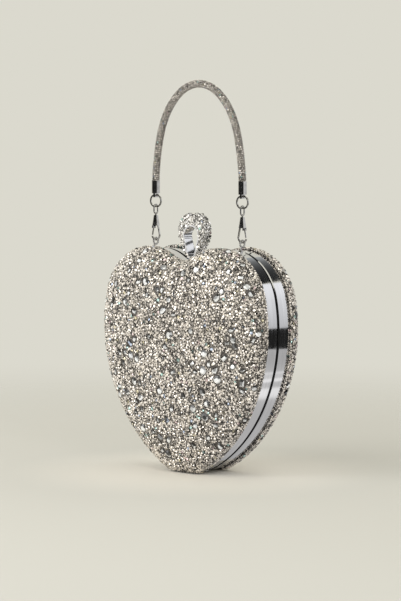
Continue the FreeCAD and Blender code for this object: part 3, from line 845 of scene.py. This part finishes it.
def floor_material(painted_light_colour, far_colour):
    """Pale floor, painted lighter around the object as a pool of light that lifts its shadow, fading out
    into the air around it.
    """
    material, inside, links = new_material("floor_paint")
    shader = inside["Principled BSDF"]
    shader.inputs["Roughness"].default_value = 0.9
    shader.inputs["Specular IOR Level"].default_value = 0.0
    coordinates = inside.new("ShaderNodeTexCoord")
    distance = inside.new("ShaderNodeVectorMath")
    distance.operation = "LENGTH"
    links.new(coordinates.outputs["Object"], distance.inputs[0])
    fades = []
    for near, far in (painted_light_patch, floor_fade):
        fade = inside.new("ShaderNodeMapRange")
        fade.interpolation_type = "SMOOTHSTEP"
        fade.inputs["From Min"].default_value = near
        fade.inputs["From Max"].default_value = far
        links.new(distance.outputs["Value"], fade.inputs["Value"])
        fades.append(fade.outputs["Result"])
    links.new(ramp_of(inside, links, fades[0], (painted_light_colour, far_colour)), shader.inputs["Base Color"])
    clear = inside.new("ShaderNodeBsdfTransparent")
    mix = inside.new("ShaderNodeMixShader")
    links.new(fades[1], mix.inputs["Fac"])
    links.new(shader.outputs["BSDF"], mix.inputs[1])
    links.new(clear.outputs["BSDF"], mix.inputs[2])
    links.new(mix.outputs["Shader"], inside["Material Output"].inputs["Surface"])
    return material


# The lighter near colour is light painted around the object
floor_paint = floor_material((0.85, 0.82, 0.76), (0.65, 0.64, 0.60))
studio_plane("floor", (4.0, 4.0), (0.0, 0.0, 0.0), (0.0, 0.0, 0.0), floor_paint)

world = bpy.data.worlds.new("studio_air")
scene.world = world
world.use_nodes = True
world.node_tree.nodes["Background"].inputs["Color"].default_value = (0.708, 0.694, 0.617, 1.0)
world.node_tree.nodes["Background"].inputs["Strength"].default_value = 1.0

soft_light("key_light", 7.0, 0.9, (-0.5, -1.15, 0.65), (0.0, 0.0, 0.1))
soft_light("right_light", 1.6, 0.5, (1.2, -0.6, 0.9), (0.0, 0.0, 0.1))
soft_light("top_light", 2.0, 0.7, (0.0, 0.3, 1.3), (0.0, 0.0, 0.1))
soft_light("low_light", 3.5, 0.7, (0.35, -1.2, 0.40), (0.0, 0.0, 0.03))
soft_light("side_light", 1.6, 0.4, (1.2, 0.15, 0.08), (0.06, 0.02, 0.04))

facing_left = (math.radians(90.0), 0.0, math.radians(-45.0))
facing_front_left = (math.radians(90.0), 0.0, math.radians(-15.0))
facing_front_sideways = (math.radians(90.0), math.radians(90.0), 0.0)
facing_back_left = (math.radians(90.0), 0.0, math.radians(45.0))
reflection_card("bright_panel", (1.2, 0.26), (0.300, 0.225, 0.216), facing_left, (0.97, 0.98, 1.0),
                ((0.0, 0.62), (0.6, 0.98), (1.0, 1.05)))
reflection_card("black_strip", (1.2, 0.073), (0.298, 0.223, 0.0535), facing_left, (1.0, 1.0, 0.95),
                ((0.0, 0.018), (1.0, 0.018)))
for name, height, middle in (("bore_line", 0.0022, 0.1764), ("bore_foot", 0.0050, 0.1680)):
    reflection_card(name, (0.016, height), (0.025, 0.031, middle), facing_left, (1.0, 1.0, 1.0),
                    ((0.0, 0.03), (1.0, 0.03)))
for name, side_x in (("left_shade", -handle_x), ("right_shade", handle_x)):
    reflection_card(name, (0.029, 0.044), (side_x - 0.0031, -0.0122, 0.181), facing_front_left,
                    (1.0, 1.0, 1.0), ((0.0, 0.03), (1.0, 0.03)))
reflection_card("dark_ceiling", (0.30, 0.96), (0.36, 0.33, 0.535), facing_front_sideways, (0.97, 1.0, 1.0),
                ((0.0, 0.46), (0.05, 0.32), (0.08, 0.22), (0.11, 0.16), (0.146, 0.12), (0.19, 0.08),
                 (0.26, 0.045), (1.0, 0.04)))
reflection_card("dark_room", (2.2, 1.3), (1.45, -1.45, 0.62), facing_back_left, (1.0, 1.0, 1.0),
                ((0.0, 0.03), (1.0, 0.03)))
reflection_card("left_panel", (1.4, 1.2), (-0.95, -0.95, 0.55), facing_left, (1.0, 0.985, 0.95),
                ((0.0, 0.95), (1.0, 1.0)))
reflection_card("front_floor", (0.9, 0.9), (-0.40, -0.52, 0.0006), (0.0, 0.0, 0.0), (1.0, 0.985, 0.95),
                ((0.0, 0.9), (1.0, 0.9)))
reflection_card("grey_floor", (0.7, 0.36), (0.20, 0.20, 0.0006), (0.0, 0.0, math.radians(-90.0)),
                (1.0, 0.99, 0.98),
                ((0.0, 0.38), (0.03, 0.50), (0.06, 0.54), (0.10, 0.54), (0.17, 0.56), (0.205, 0.60),
                 (0.245, 1.0), (0.27, 1.0), (0.295, 0.62), (0.32, 0.64), (0.338, 1.05), (0.36, 0.74),
                 (0.385, 0.72), (0.405, 0.86), (0.43, 0.58), (1.0, 0.60)))
